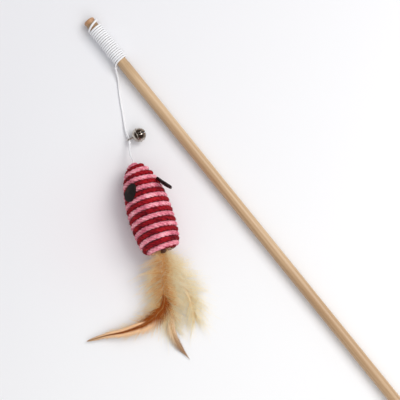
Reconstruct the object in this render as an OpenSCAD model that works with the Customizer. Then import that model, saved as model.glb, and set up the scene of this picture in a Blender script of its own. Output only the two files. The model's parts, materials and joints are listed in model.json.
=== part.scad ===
// Cat teaser wand, lying on a table.
// X runs along the rod from the butt to the tip, Z is up, the origin is the centre of the butt face.
// Lengths are millimetres and angles are degrees.

/* [Rod] */
// Whole length of the wooden dowel
rod_len = 400; // [300:5:500]
// Diameter of the dowel
rod_d = 8; // [6:0.5:10]
// How far the dowel is sanded down where the cord is wound
seat_depth = 0.25; // [0.2:0.05:0.5]
// Bare sanded stretch between the grip and the winding
seat_margin = 4.5; // [4:0.5:8]
// Radius of the rounded edge at both ends of the dowel
rod_round = 0.8; // [0.3:0.1:1.5]

/* [Cord winding] */
// Diameter of the white cord
cord_d = 1.2; // [0.8:0.1:1.4]
// Bare dowel between the tip and the start of the winding
tip_bare = 2.4; // [1.5:0.1:12]
// Advance of the first half turn, which crosses the dowel at a slant
lead_in = 4; // [2:0.25:6]
// Advance of the cord in each further turn
wrap_pitch = 1.65; // [1.65:0.05:2.4]
// Whole turns after the first half turn
wrap_turns = 17; // [8:1:22]
// Gap between the winding and the glue film under it
wrap_clear = 0.15; // [0.12:0.01:0.3]
// Thickness of the glue film under the winding
glue_t = 0.1; // [0.05:0.05:0.2]

/* [Knots] */
// Outer diameter of a barrel knot
knot_d = 3.4; // [3:0.1:4]
// Free space between pieces that turn against each other or lie loosely together
joint_gap = 0.3; // [0.2:0.05:0.5]

/* [Bell] */
// Outer diameter of the bell
bell_d = 10; // [9:0.5:12]
// Wall of the bell's two shells
bell_wall = 0.4; // [0.3:0.05:0.6]
// Raised rim where the two shells are crimped together
bell_rim = 0.25; // [0.1:0.05:0.5]
// Width of the crossed slots in the lower shell
bell_slot = 1; // [0.6:0.1:1.4]
// Diameter of the round hole at the end of each slot
bell_eye_d = 1.8; // [1.4:0.1:2.4]
// Wire of the bell's loop
loop_wire_d = 0.9; // [0.6:0.1:1.2]
// Width inside the bell's loop
loop_hole_d = 2.6; // [2.2:0.1:3.2]
// How far the loop's straight legs stand clear of the bell
loop_leg = 1.3; // [0.4:0.1:2]
// Diameter of the rattling ball
pellet_d = 3.2; // [2:0.1:4]
// Downward tilt of the loop as the bell lies on the table
bell_tilt = 15; // [0:1:24]
// Direction from the bell to its loop, seen from above
bell_yaw = 75.4; // [40:0.2:100]

/* [Mouse] */
// Length of the mouse's body over the ropes
mouse_len = 65; // [58:1:80]
// Largest diameter over the ropes
mouse_d = 31.2; // [28:0.2:36]
// Thickness of each of the two ropes
rope_d = 3.2; // [2.8:0.1:3.4]
// Gap between neighbouring ropes
rope_gap = 0.35; // [0.3:0.05:0.8]
// Gap between the ropes and the core
core_gap = 0.4; // [0.35:0.05:0.8]
// Nose-down lean of the body as it lies
mouse_pitch = 4.6; // [2:0.2:7]
// Direction of the body seen from above, from the nose to the tail
mouse_yaw = 158.8; // [150:0.2:165]

/* [Tail socket] */
// Diameter of the socket that holds the feathers
socket_d = 9.6; // [8.6:0.2:10]
// Depth of the socket
socket_depth = 12; // [8:0.5:16]
// Gap round the glue plug and the quills
plug_gap = 0.15; // [0.1:0.05:0.2]

/* [Ears] */
// Length of a leather ear
ear_len = 13; // [8:0.5:14]
// Width of a leather ear
ear_w = 10; // [6:0.5:11]
// Thickness of the leather
ear_t = 1.2; // [0.8:0.1:1.6]
// Radius of the hollow that the leather is bent to
ear_bend_r = 30; // [24:1:60]

/* [Feathers] */
// Length along the long hackle, from its root to its tip
hackle_long_len = 113; // [95:1:125]
// Length along the short hackle, from its root to its tip
hackle_short_len = 95; // [80:1:100]
// Length of each downy plume
plume_len = 66; // [56:1:74]
// Thickness of a quill at its root
quill_d = 1.6; // [1.2:0.1:1.8]
// Thickness of a quill at its tip
quill_tip_d = 0.5; // [0.3:0.05:0.8]
// Length of the longest downy barbs
down_len = 22; // [14:1:24]
// Distance between barbs along a quill
barb_step = 2.2; // [2:0.1:4]
// Width of a barb half way along it
barb_w = 0.8; // [0.5:0.05:1]
// Thickness of a barb half way along it
barb_t = 0.35; // [0.25:0.05:0.5]

/* [Hidden] */
$fn = 48;

// Overrun of a cut past the face that it opens
cut_over = 0.5;
quarter = 90;

rod_r = rod_d / 2;
cord_r = cord_d / 2;
rope_r = rope_d / 2;
mouse_r = mouse_d / 2;
bell_r = bell_d / 2;
knot_r = knot_d / 2;
pellet_r = pellet_d / 2;
wire_r = loop_wire_d / 2;
socket_r = socket_d / 2;
quill_r = quill_d / 2;

// Winding: half a turn at a slant, whole turns, then most of a turn up to where the cord leaves
seat_r = rod_r - seat_depth;
wrap_r = seat_r + glue_t + wrap_clear + cord_r;
wrap_from_x = rod_len - tip_bare - cord_r;
slant_turn = 180;
last_turn = 320;
wrap_end_x = wrap_from_x - lead_in - wrap_pitch * (wrap_turns + last_turn / 360);
seat_from_x = wrap_end_x - seat_margin;
seat_to_x = wrap_from_x + cord_d;
wrap_step = 22.5;
wrap_sides = 6;
// The winding is cut flat by a tenth of the cord where it rests on the table
cord_cut_share = 0.1;
floor_z = -(wrap_r + cord_r - cord_cut_share * cord_d);

// The exit knot turns inside a clear ball beside the dowel, just below the last turn
knot_ball_r = norm([knot_r - cord_r, cord_r]) + cord_r;
exit_out = rod_r + joint_gap + knot_ball_r;
exit_dip = 11;
exit_at = [wrap_end_x - knot_ball_r, exit_out * cos(exit_dip), -exit_out * sin(exit_dip)];
tail_stop = knot_ball_r + joint_gap;

// Route of the free cord from the exit knot to the nose of the mouse
cord_route = [
    [359.7, 6.9, -1.8],
    [356.0, 8.5, -3.1],
    [352.0, 11.0, -4.2],
    [347.5, 14.0, -4.4],
    [342.5, 17.0, -4.4],
    [337.6, 19.8, -4.4],
    [333.0, 22.3, -4.4],
    [328.4, 25.0, -4.2],
    [323.9, 27.5, -3.6],
    [319.6, 29.2, -2.7],
    [315.9, 30.2, -1.7],
    [312.9, 32.4, -0.5],
    [310.0, 34.8, 1.1],
    [307.2, 36.6, 2.9],
    [304.9, 37.8, 4.7],
    [302.9, 38.3, 6.2]
];
cord_sides = 8;
cord_parts = 2;
// The point of the route that passes through the bell's loop
bell_point = 10;

// The bell's loop is carried on the cord; the stop knot leans against it at most by this angle
knot_lean = 33;
// Petals stop at this height below the bell's rim, seen from its centre
slot_rise = 20;
// Foot of the loop's wire inside the bell, as a share of the wire
foot_share = 1.6;
// Clearance round the cord in the stop knot, as a share of the joint gap
knot_bore_share = 0.8;

// Mouse: the nose half is half an ellipse, the tail half a fuller curve that ends in a flat ring
nose_share = 0.62;
tail_power = 2.8;
tail_ring_share = 0.757;
nose_a = nose_share * mouse_len;
tail_turn = acos(pow(tail_ring_share, tail_power / 2));
tail_a = (mouse_len - nose_a - rope_r) / pow(sin(tail_turn), 2 / tail_power);
// The ropes are cut flat where they rest on the table
belly_cut = 0.5;
nose_at = [300.4, 39.2,
    floor_z - belly_cut - nose_a * sin(mouse_pitch)
    + norm([nose_a * sin(mouse_pitch), mouse_r * cos(mouse_pitch)])];
// The tether bends just ahead of the nose
tether_out = 1.8;

// Ropes: both start and end by running straight at the flat ends of the core
rope_bend_share = 1.2;
rope_bend_r = rope_bend_share * rope_r;
rope_start_r = cord_r + joint_gap + rope_r;
rope_first_r = norm([rope_start_r, rope_bend_r]);
rope_phase = 56;
rope_step = 20;
rope_sides = 6;
rope_lead = 2 * (rope_d + rope_gap);
rope_last_r = tail_ring_share * (mouse_r - rope_r) - rope_d - rope_gap;
end_tuck = 2 * rope_gap;
tuck_turn = 90;
meridian_step = 1.5;
out_lean_share = 0.33;
nose_turn = asin(rope_first_r / (mouse_r - rope_r));
meridian = concat(
    [for (a = [nose_turn : meridian_step : quarter])
        [nose_a - (nose_a - rope_r) * cos(a), (mouse_r - rope_r) * sin(a)]],
    [for (a = [meridian_step : meridian_step : tail_turn])
        [nose_a + tail_a * pow(sin(a), 2 / tail_power),
         (mouse_r - rope_r) * pow(cos(a), 2 / tail_power)]],
    [[mouse_len - rope_r, tail_ring_share * (mouse_r - rope_r)],
     [mouse_len - rope_r, rope_last_r]]);
meridian_arc = [for (i = 0, w = 0; i < len(meridian);
    w = w + norm(meridian[min(i + 1, len(meridian) - 1)] - meridian[i]), i = i + 1) w];
rope_arc = meridian_arc[len(meridian) - 1];
arc_x = [for (i = [0 : len(meridian) - 1]) [meridian_arc[i], meridian[i][0]]];
arc_r = [for (i = [0 : len(meridian) - 1]) [meridian_arc[i], meridian[i][1]]];

// Core: egg with flat ends, a bore for the cord and a socket for the feathers
core_inset = rope_d + core_gap;
core_nose_x = meridian[0][0] + rope_bend_r + rope_d + core_gap;
core_tail_x = mouse_len - rope_r - rope_bend_r - rope_d - core_gap;
core_bore_r = cord_r + joint_gap;
core_parts = 24;
socket_x = core_tail_x - socket_depth;
knot_half = 2 * cord_r;
plug_from_x = socket_x + 2 * knot_half + 2 * joint_gap;
plug_to_x = core_tail_x + rope_r;

// Ears
ear_parts = 28;
ear_left_x_share = 0.34;
ear_left_roll = 38;
ear_left_turn = 38;
ear_right_x_share = 0.253;
ear_right_height = 39;
ear_right_turn = 37;
// The leaf's outline: how full its sides are, and how much wider it is towards the tip
ear_full_power = 0.8;
ear_wide_shares = [0.86, 0.14];

// Feathers: height of each quill in the socket, from the top one down, as shares of its radius
quill_row_shares = [0.69, 0.23, -0.23, -0.69];
// Height of each feather above the table where it lies flat, as shares of the largest radius
lie_shares = [0.55, 0.38, 0.21, 0.08];
// Routes in shares of any unit: along the body, to the side of the rod, and how far down they have sunk
hackle_long_shares = [
    [0, 0, 0], [6.5, 0, 0], [13.5, 0, 0.02], [21.5, -1, 0.2], [28.5, -3, 0.45], [36.5, -5.5, 0.72],
    [43.5, -7.5, 0.88], [49, -8.9, 0.95], [51.5, -10.8, 0.97], [54.3, -16.2, 0.99], [57.5, -22.5, 1],
    [60, -29, 1], [60.8, -41, 1.02], [59.8, -53, 1.04], [59.4, -66.4, 1.06]
];
hackle_short_shares = [
    [0, 0, 0], [6.5, 0, 0], [13.5, 0.2, 0.02], [22, 1, 0.2], [32, 1, 0.55], [42, -1.5, 0.84],
    [50, -4, 0.95], [60, -6, 0.98], [69, -8.5, 1], [79, -8, 1.03], [93, -3.5, 1.1]
];
plume_right_shares = [
    [0, 0, 0], [6.5, 0, 0], [13.5, 0.3, 0.02], [22, 2.5, 0.25], [32, 5.5, 0.62], [43, 8, 0.9],
    [53, 9, 0.98], [64, 8.5, 1]
];
plume_low_shares = [
    [0, 0, 0], [6.5, 0, 0], [13.5, -0.3, 0.02], [22, -2, 0.3], [32, -4.5, 0.68], [43, -6.5, 0.92],
    [53, -7, 1], [64, -5, 1]
];
// Length of the barbs along a feather, as shares of the longest ones
hackle_long_barb_shares = [[0.135, 0.02], [0.17, 0.3], [0.24, 0.85], [0.32, 1], [0.4, 0.9], [0.47, 0.5],
    [0.52, 0.34], [0.66, 0.36], [0.82, 0.3], [0.93, 0.2], [1, 0.06]];
hackle_short_barb_shares = [[0.2, 0.02], [0.25, 0.3], [0.36, 0.7], [0.5, 0.72], [0.6, 0.4], [0.68, 0.24],
    [0.85, 0.24], [0.95, 0.16], [1, 0.05]];
plume_barb_shares = [[0.28, 0.02], [0.34, 0.3], [0.48, 0.75], [0.7, 0.95], [0.9, 0.85], [1, 0.6]];
// Lean of the barbs away from the quill along a feather, as shares of a right angle
hackle_lean_shares = [[0.15, 0.7], [0.4, 0.6], [0.52, 0.33], [1, 0.22]];
plume_lean_shares = [[0.28, 0.7], [0.7, 0.6], [1, 0.3]];
barb_curl_share = 0.72;
barb_lift = 3;
// A quill has a ridge above and below, and two flat sides that the barbs grow from
quill_sides = 6;
quill_half_width_share = 0.85;
quill_half_side_share = 0.5;
// Barbs shorter than this many steps get thinner
full_barb_steps = 4;

function unit(v) = v / norm(v);
function blend(a, b, t) = a + (b - a) * t;
function last(list) = list[len(list) - 1];

// Smooth curve through points, with a share t of the span that starts at point i
function knot_at(p, i) = p[max(0, min(len(p) - 1, i))];
function span_at(p, i, t) =
    let (a = knot_at(p, i - 1), b = knot_at(p, i), c = knot_at(p, i + 1), d = knot_at(p, i + 2))
    b + (c - a) * t / 2 + (2 * a - 5 * b + 4 * c - d) * t * t / 2
    + (3 * b - a - 3 * c + d) * t * t * t / 2;
function smooth_path(p, parts) = concat(
    [for (i = [0 : len(p) - 2], k = [0 : parts - 1]) span_at(p, i, k / parts)], [last(p)]);
function path_length(p) = len(p) < 2 ? 0 : [for (i = 0, s = 0; i < len(p);
    s = s + norm(p[min(i + 1, len(p) - 1)] - p[i]), i = i + 1) s][len(p) - 1];
function heading(p, i) = unit(p[min(i + 1, len(p) - 1)] - p[max(i - 1, 0)]);

// Rings of a tube along a path; outs gives the way each ring's first corner faces
function tube_rings(p, outs, r, sides) = [for (i = [0 : len(p) - 1])
    let (t = heading(p, i), o = unit(outs[i] - (outs[i] * t) * t), b = cross(t, o))
    for (k = [0 : sides - 1]) p[i] + r * (cos(360 * k / sides) * o + sin(360 * k / sides) * b)];
function tube_faces(rings, sides) = concat(
    [for (k = [1 : sides - 2]) [0, k, k + 1]],
    [for (i = [0 : rings - 2], k = [0 : sides - 1])
        let (a = i * sides + k, b = i * sides + (k + 1) % sides)
        each [[a, b + sides, b], [a, a + sides, b + sides]]],
    [for (k = [1 : sides - 2]) let (e = (rings - 1) * sides) [e, e + k + 1, e + k]]);
function lifted(p, height) = [p[0], p[1], max(p[2], floor_z + height)];
function above_table(points) = [for (p = points) lifted(p, 0)];
// Least free space between turns of one tube, leaving out neighbours less than a part turn apart
function least_gap(p, d, skip) = min([for (i = [0 : len(p) - 1 - skip], j = [i + skip : len(p) - 1])
    norm(p[i] - p[j])]) - d;

module tube(p, outs, r, sides) {
    polyhedron(above_table(tube_rings(p, outs, r, sides)), tube_faces(len(p), sides));
}

// Places in the mouse's own frame: x from the nose to the tail, y towards the rod, z up
function on_body(p) =
    let (x = p[0] * cos(mouse_pitch) - p[2] * sin(mouse_pitch))
    nose_at + [x * cos(mouse_yaw) - p[1] * sin(mouse_yaw),
               x * sin(mouse_yaw) + p[1] * cos(mouse_yaw),
               p[0] * sin(mouse_pitch) + p[2] * cos(mouse_pitch)];
module mouse_frame() {
    translate(nose_at) rotate([0, -mouse_pitch, mouse_yaw]) children();
}
module point_along(direction) {
    rotate([0, acos(direction[2] / norm(direction)), atan2(direction[1], direction[0])]) children();
}
// Radius of the body at x, a given depth under the crests of the ropes
function body_r(x, inset) = x < nose_a
    ? (mouse_r - inset) * sqrt(max(0, 1 - pow((nose_a - x) / (nose_a - inset), 2)))
    : (mouse_r - inset) * pow(max(0, 1 - pow((x - nose_a) / (tail_a + rope_r - inset), tail_power)),
        1 / tail_power);

module rod() {
    color("burlywood") rotate([0, 90, 0]) rotate_extrude() difference() {
        union() {
            translate([0, rod_round]) square([rod_r, rod_len - 2 * rod_round]);
            square([rod_r - rod_round, rod_len]);
            for (y = [rod_round, rod_len - rod_round]) translate([rod_r - rod_round, y]) circle(rod_round);
        }
        translate([seat_r, seat_from_x]) square([seat_depth + cut_over, seat_to_x - seat_from_x]);
    }
}

module wrap_glue() {
    color("ivory") translate([wrap_end_x, 0, 0]) rotate([0, 90, 0]) difference() {
        cylinder(r = seat_r + glue_t, h = wrap_from_x - wrap_end_x);
        translate([0, 0, -cut_over]) cylinder(r = seat_r, h = wrap_from_x - wrap_end_x + 2 * cut_over);
    }
}

// Place on the winding after a turn of a degrees from its start on the side away from the mouse
function wrap_at(a) =
    let (x = wrap_from_x - lead_in * min(a / slant_turn, 1) - wrap_pitch * max(0, a - slant_turn) / 360)
    [x, wrap_r * cos(slant_turn - a), wrap_r * sin(slant_turn - a)];
wrap_total_turn = slant_turn + 360 * wrap_turns + last_turn;
wrap_end = wrap_at(wrap_total_turn);
wrap_path = concat(
    [wrap_at(0) + cord_d * unit(wrap_at(0) - wrap_at(wrap_step))],
    [for (a = [0 : wrap_step : wrap_total_turn]) wrap_at(a)],
    [for (out = [tail_stop + cord_d, tail_stop]) exit_at + out * unit(wrap_end - exit_at)]);
module cord_wrap() {
    echo(cord_wrap_least_gap = least_gap(wrap_path, cord_d, 10));
    color("white") tube(wrap_path, [for (p = wrap_path) [0, p[1], p[2]]], cord_r, wrap_sides);
}

// Two turns of cord drawn tight, with or without the cord's own hole through them
module barrel_knot(hole_r) {
    rotate_extrude() difference() {
        union() {
            for (z = [-cord_r, cord_r]) translate([knot_r - cord_r, z]) circle(cord_r);
            translate([0, -cord_d + cord_r / 2]) square([knot_r - cord_r, knot_d - cord_d]);
        }
        if (hole_r > 0) translate([0, -2 * cord_d]) square([hole_r, 4 * cord_d]);
    }
}
module exit_knot() {
    color("white") translate(exit_at) point_along(cord_route[1] - exit_at) union() {
        barrel_knot(0);
        sphere(r = knot_r);
    }
}

module cord() {
    path = smooth_path(cord_route, cord_parts);
    echo(free_cord_length = path_length(path));
    color("white") tube(path, [for (p = path) [0, 0, 1]], cord_r, cord_sides);
}

// Bell: its own frame has the loop on +Z, and the hole of the loop along Y
loop_out = bell_r + joint_gap + loop_leg + loop_wire_d;
loop_way = [cos(bell_tilt) * cos(bell_yaw), cos(bell_tilt) * sin(bell_yaw), -sin(bell_tilt)];
bell_at = cord_route[bell_point] - loop_out * loop_way;
leg_x = (loop_hole_d + loop_wire_d) / 2;
foot_r = foot_share * wire_r;
bell_in_r = bell_r - bell_wall;
foot_z = sqrt(pow(bell_in_r, 2) - pow(leg_x + foot_r, 2)) - plug_gap;
module bell_frame() {
    translate(bell_at) rotate([0, 90 + bell_tilt, bell_yaw]) children();
}
module half_space(side) {
    translate([-bell_d, -bell_d, side > 0 ? 0 : -2 * bell_d]) cube(2 * bell_d);
}
module bell_shell() {
    difference() {
        sphere(r = bell_r);
        sphere(r = bell_in_r);
    }
}
module bell_knot() {
    way = cord_route[bell_point + 1] - cord_route[bell_point];
    lag = cord_d + (wire_r + joint_gap + knot_r * sin(knot_lean)) / cos(knot_lean);
    color("white") translate(cord_route[bell_point] + lag * unit(way)) point_along(way)
        barrel_knot(cord_r + knot_bore_share * joint_gap);
}
module bell_loop() {
    color("silver") bell_frame() union() {
        intersection() {
            translate([0, 0, loop_out]) rotate([90, 0, 0]) rotate_extrude()
                translate([leg_x, 0]) circle(wire_r);
            translate([0, 0, loop_out]) half_space(1);
        }
        for (x = [-leg_x, leg_x]) translate([x, 0, 0]) {
            translate([0, 0, foot_z - wire_r]) cylinder(r = wire_r, h = loop_out - foot_z + wire_r);
            translate([0, 0, foot_z - wire_r]) cylinder(r = foot_r, h = wire_r);
        }
    }
}
module bell_cap() {
    color("silver") bell_frame() difference() {
        union() {
            intersection() {
                bell_shell();
                half_space(1);
            }
            difference() {
                cylinder(r = bell_r + bell_rim, h = 2 * bell_rim);
                translate([0, 0, -cut_over])
                    cylinder(r = bell_r - bell_wall / 2, h = 2 * (cut_over + bell_rim));
            }
        }
        for (x = [-leg_x, leg_x]) translate([x, 0, 0]) cylinder(r = wire_r + plug_gap / 3, h = bell_d);
    }
}
module bell_petals() {
    slot_top = bell_r * sin(slot_rise);
    color("silver") bell_frame() difference() {
        intersection() {
            bell_shell();
            half_space(-1);
        }
        for (a = [0, 90]) rotate([0, 0, a]) {
            translate([-bell_d, -bell_slot / 2, -bell_d]) cube([2 * bell_d, bell_slot, bell_d - slot_top]);
            translate([-bell_d, 0, -slot_top]) rotate([0, 90, 0]) cylinder(d = bell_eye_d, h = 2 * bell_d);
        }
    }
}
module bell_pellet() {
    color("gray") translate(bell_at - [0, 0, bell_in_r - pellet_r - joint_gap / 2]) sphere(r = pellet_r);
}

// The tether runs from its bend ahead of the nose, through the core, to a knot in the socket
module nose_tie() {
    color("white") mouse_frame() translate([-tether_out, 0, 0]) rotate([0, 90, 0]) union() {
        sphere(r = cord_r);
        cylinder(r = cord_r, h = socket_x + tether_out + joint_gap + 2 * knot_half);
    }
}
module anchor_knot() {
    color("white") mouse_frame() translate([socket_x + joint_gap / 2 + knot_half, 0, 0]) rotate([0, 90, 0])
        barrel_knot(cord_r + plug_gap);
}
module mouse_core() {
    side = [for (i = [0 : core_parts]) let (x = blend(core_nose_x, core_tail_x, i / core_parts))
        [body_r(x, core_inset), x]];
    color("tan") mouse_frame() rotate([0, 90, 0]) rotate_extrude() polygon(concat(
        [[core_bore_r, core_nose_x]], side,
        [[socket_r, core_tail_x], [socket_r, socket_x], [core_bore_r, socket_x]]));
}

// A rope: straight run away from the core's nose face, bend, winding along the meridian, bend, straight run
function around(x, r, a) = [x, r * cos(a), r * sin(a)];
function rope_path(start) =
    let (start_x = meridian[0][0],
         wound = round(360 * rope_arc / rope_lead / rope_step),
         first = start + atan2(rope_bend_r, rope_start_r),
         end_a = first + 360 * rope_arc / rope_lead,
         end_r = rope_last_r - end_tuck,
         end_x = mouse_len - rope_r,
         side_first = [0, -sin(start), cos(start)],
         side_end = [0, -sin(end_a), cos(end_a)])
    concat(
        [around(start_x + rope_bend_r + rope_d, rope_start_r, start)],
        [for (b = [0 : 30 : 60]) around(start_x + rope_bend_r * (1 - sin(b)), rope_start_r, start)
            + rope_bend_r * (1 - cos(b)) * side_first],
        [for (j = [0 : wound]) let (w = rope_arc * j / wound, a = first + 360 * w / rope_lead,
            tuck = end_tuck * pow(max(0, 1 - (end_a - a) / tuck_turn), 2))
            around(lookup(w, arc_x), lookup(w, arc_r) - tuck, a)],
        [for (b = [30 : 30 : 90]) around(end_x - rope_bend_r * (1 - cos(b)), end_r, end_a)
            + rope_bend_r * sin(b) * side_end],
        [around(end_x - rope_bend_r - rope_d, end_r, end_a) + rope_bend_r * side_end]);
module wound_rope(start) {
    path = rope_path(start);
    outs = [for (p = path) on_body(p + [out_lean_share * (p[0] - nose_a), p[1], p[2]]) - on_body(p)];
    echo(rope_least_gap = least_gap(path, rope_d, 12));
    tube([for (p = path) on_body(p)], outs, rope_r, rope_sides);
}
module rope_pink() {
    color("palevioletred") wound_rope(rope_phase);
}
module rope_red() {
    color("crimson") wound_rope(rope_phase + 180);
}

// A leaf of bent leather from its root at the origin along +X
module ear() {
    outline = [for (i = [0 : ear_parts]) let (a = 180 * (1 - i / ear_parts))
        [ear_len * (1 + cos(a)) / 2,
         ear_w / 2 * pow(sin(a), ear_full_power) * (ear_wide_shares[0] + ear_wide_shares[1] * cos(a))]];
    intersection() {
        translate([0, 0, -ear_len]) linear_extrude(2 * ear_len) polygon(concat(outline,
            [for (i = [ear_parts - 1 : -1 : 1]) [outline[i][0], -outline[i][1]]]));
        translate([ear_len / 2, 0, -ear_bend_r]) difference() {
            sphere(r = ear_bend_r + ear_t, $fn = 96);
            sphere(r = ear_bend_r, $fn = 96);
        }
    }
}
module ear_left() {
    x = ear_left_x_share * mouse_len;
    slope = atan((body_r(x + rope_r, 0) - body_r(x - rope_r, 0)) / rope_d);
    half_len = ear_len / 2;
    lift = joint_gap + half_len * half_len / (2 * ear_bend_r);
    color("saddlebrown") mouse_frame() translate([x, 0, 0]) rotate([ear_left_roll, 0, 0])
        translate([0, 0, body_r(x, 0)]) rotate([0, -slope, -ear_left_turn])
        translate([-half_len, 0, lift]) ear();
}
module ear_right() {
    x = ear_right_x_share * mouse_len;
    out = body_r(x, 0) + ear_t + joint_gap;
    color("saddlebrown") mouse_frame()
        translate([x, out * cos(ear_right_height), out * sin(ear_right_height)])
        rotate([90, 0, ear_right_turn]) ear();
}

module tail_plug() {
    color("sienna") mouse_frame() translate([plug_from_x, 0, 0]) rotate([0, 90, 0]) difference() {
        cylinder(r = socket_r - plug_gap, h = plug_to_x - plug_from_x);
        for (s = quill_row_shares) translate([-s * socket_r, 0, -cut_over])
            cylinder(r = quill_r + plug_gap, h = plug_to_x - plug_from_x + 2 * cut_over);
    }
}

// A feather is one closed skin: a six-sided quill whose two side faces grow a curved barb at each step
root_x = plug_from_x + joint_gap;
function feather_route(shares, row, length) =
    let (k = length / path_length([for (s = shares) [s[0], s[1]]]))
    [for (s = shares) let (x = root_x + k * s[0], z0 = quill_row_shares[row] * socket_r,
        p = on_body([x, k * s[1], z0]))
        [p[0], p[1], blend(p[2], floor_z + lie_shares[row] * mouse_r, s[2])]];
function feather_path(route, steps) =
    let (fine = smooth_path(route, 8), run = [for (i = 0, s = 0; i < len(fine);
        s = s + norm(fine[min(i + 1, len(fine) - 1)] - fine[i]), i = i + 1) s],
        along = [for (i = [0 : len(fine) - 1]) [run[i], i]])
    [for (j = [0 : steps]) let (i = lookup(last(run) * j / steps, along), f = floor(i))
        blend(fine[f], fine[min(f + 1, len(fine) - 1)], i - f)];
function quill_ring(c, r, side, up) =
    let (out = quill_half_width_share * r * side, rise = quill_half_side_share * r * up)
    [c + out + rise, c + r * up, c - out + rise, c - out - rise, c - r * up, c + out - rise];
module feather(route, length, barb_shares, lean_shares) {
    steps = round(length / barb_step);
    path = feather_path(route, steps);
    from = ceil(barb_shares[0][0] * steps);
    rings = [for (i = [0 : steps]) let (t = heading(path, i), side = unit(cross([0, 0, 1], t)))
        each quill_ring(path[i], blend(quill_r, quill_tip_d / 2, i / steps), side, cross(t, side))];
    barbs = [for (i = [from : steps - 1], s = [-1, 1])
        let (t = unit(path[i + 1] - path[i]), side = unit(cross([0, 0, 1], t)) * s, up = [0, 0, 1],
             u = (i + 0.5) / steps, long = down_len * lookup(u, barb_shares),
             lean = quarter * lookup(u, lean_shares), curled = lean * barb_curl_share,
             lift = (i % 2 == 0 ? 1 : -1) * barb_lift,
             root = (path[i] + path[i + 1]) / 2,
             mid = lifted(root + long / 2 * (cos(lean) * t + sin(lean) * side + sin(lift) * up), barb_t),
             tip = lifted(mid + long / 2 * (cos(curled) * t + sin(curled) * side + sin(lift) * up), barb_t),
             thin = min(1, long / (full_barb_steps * barb_step)),
             across = thin * barb_w / 2 * (sin(lean) * t - cos(lean) * side),
             thick = s * -thin * barb_t / 2 * up)
        each [mid - across + thick, mid - across - thick, mid + across - thick, mid + across + thick, tip]];
    n = quill_sides;
    plain = [for (i = [0 : steps - 1], k = [0 : n - 1]) if (i < from || (k != 2 && k != 5))
        let (a = n * i + k, b = n * i + (k + 1) % n) each [[a, b + n, b], [a, a + n, b + n]]];
    grown = [for (i = [from : steps - 1], s = [0, 1])
        let (k = s == 0 ? 2 : 5, m = n * (steps + 1) + 5 * (2 * (i - from) + s),
             foot = [n * i + k, n * i + (k + 1) % n, n * (i + 1) + (k + 1) % n, n * (i + 1) + k])
        for (e = [0 : 3]) let (f = (e + 1) % 4)
            each [[foot[e], m + e, m + f], [foot[e], m + f, foot[f]], [m + e, m + 4, m + f]]];
    ends = concat([for (k = [1 : n - 2]) [0, k, k + 1]],
        [for (k = [1 : n - 2]) [n * steps, n * steps + k + 1, n * steps + k]]);
    polyhedron(concat(rings, barbs), concat(ends, plain, grown));
}
module hackle_long() {
    color("peru") feather(feather_route(hackle_long_shares, 0, hackle_long_len), hackle_long_len,
        hackle_long_barb_shares, hackle_lean_shares);
}
module hackle_short() {
    color("tan") feather(feather_route(hackle_short_shares, 1, hackle_short_len), hackle_short_len,
        hackle_short_barb_shares, hackle_lean_shares);
}
module plume_right() {
    color("wheat") feather(feather_route(plume_right_shares, 2, plume_len), plume_len,
        plume_barb_shares, plume_lean_shares);
}
module plume_low() {
    color("wheat") feather(feather_route(plume_low_shares, 3, plume_len), plume_len,
        plume_barb_shares, plume_lean_shares);
}

rod();
wrap_glue();
cord_wrap();
exit_knot();
cord();
bell_knot();
bell_loop();
bell_cap();
bell_petals();
bell_pellet();
nose_tie();
anchor_knot();
mouse_core();
rope_pink();
rope_red();
ear_left();
ear_right();
tail_plug();
hackle_long();
hackle_short();
plume_right();
plume_low();
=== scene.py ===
import bpy
import bmesh
import json
import math
import random
from mathutils import Matrix, Vector, noise

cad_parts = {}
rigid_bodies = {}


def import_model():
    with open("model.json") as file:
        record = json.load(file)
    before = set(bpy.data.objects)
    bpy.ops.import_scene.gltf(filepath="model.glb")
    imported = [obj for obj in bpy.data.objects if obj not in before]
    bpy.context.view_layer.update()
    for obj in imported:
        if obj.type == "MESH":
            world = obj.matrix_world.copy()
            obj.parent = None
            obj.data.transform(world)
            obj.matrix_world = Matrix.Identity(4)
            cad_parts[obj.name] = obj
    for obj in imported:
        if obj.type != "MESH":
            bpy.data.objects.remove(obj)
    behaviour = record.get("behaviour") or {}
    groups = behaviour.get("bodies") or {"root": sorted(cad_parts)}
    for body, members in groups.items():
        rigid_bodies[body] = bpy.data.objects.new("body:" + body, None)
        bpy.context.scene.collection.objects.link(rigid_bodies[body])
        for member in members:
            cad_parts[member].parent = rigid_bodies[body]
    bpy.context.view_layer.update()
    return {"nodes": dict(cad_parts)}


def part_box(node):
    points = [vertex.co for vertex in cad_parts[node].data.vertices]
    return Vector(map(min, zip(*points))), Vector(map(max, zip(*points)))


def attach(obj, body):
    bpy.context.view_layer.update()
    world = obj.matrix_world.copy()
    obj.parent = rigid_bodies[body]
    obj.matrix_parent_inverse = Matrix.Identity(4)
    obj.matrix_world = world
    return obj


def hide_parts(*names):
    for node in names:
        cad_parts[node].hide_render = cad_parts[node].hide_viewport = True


# a cat teaser wand lying on a table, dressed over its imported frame; all in metres
print("loading the frame")
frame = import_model()
scene = bpy.context.scene
cadNodes = frame["nodes"]
mm = 0.001
up = Vector((0, 0, 1))
noise.seed_set(8)  # so that the fluff grows the same way each time


def linear(red, green, blue):
    # a picture's colour values from 0 to 255, made linear
    def one(value):
        value /= 255
        return value / 12.92 if value <= 0.04045 else ((value + 0.055) / 1.055) ** 2.4
    return (one(red), one(green), one(blue), 1.0)


def turned(degrees, axis, size=4):
    return Matrix.Rotation(math.radians(degrees), size, axis)


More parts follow.
